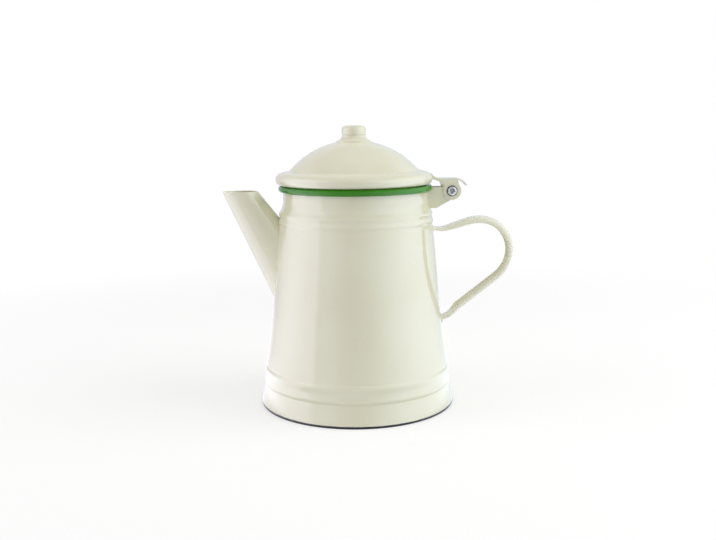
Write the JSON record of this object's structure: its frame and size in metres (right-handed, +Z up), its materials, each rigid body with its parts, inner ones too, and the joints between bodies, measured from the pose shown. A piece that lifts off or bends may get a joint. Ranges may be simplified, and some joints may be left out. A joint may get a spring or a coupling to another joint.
{
  "type": "coffee pot",
  "caption": "Enamelled steel coffee pot with a tapered ribbed body, slanted spout, strap handle, green rolled rim and a domed lid on a rear hinge.",
  "frame": {"origin": "centre of the base's underside, on the surface that the pot stands on", "axes": "+Z up along the body's axis, +X from the body towards the handle, the spout points to -X, symmetric about the XZ plane"},
  "size_m": [0.1782, 0.1206, 0.1712],
  "materials": {
    "cream_enamel": "glossy vitreous enamel",
    "green_enamel": "glossy vitreous enamel",
    "black_enamel": "glossy vitreous enamel, worn",
    "bare_steel": "dull"
  },
  "bodies": {
    "pot": {"body_wall": "cream_enamel", "base_disc": "black_enamel", "rim_roll": "green_enamel", "spout": "cream_enamel", "handle": "cream_enamel", "hinge_bracket": "cream_enamel", "hinge_rivet": "bare_steel", "hinge_washers": "bare_steel"},
    "lid": {"lid_shell": "cream_enamel", "lid_collar": "cream_enamel", "lid_knob": "cream_enamel", "hinge_leaf": "cream_enamel"}
  },
  "joints": [
    {"name": "lid_hinge", "type": "hinge", "parent": "pot", "child": "lid", "pos_m": [0.0585, 0, 0.13137], "axis": [0, 1, 0], "range_deg": [0, 136]}
  ]
}
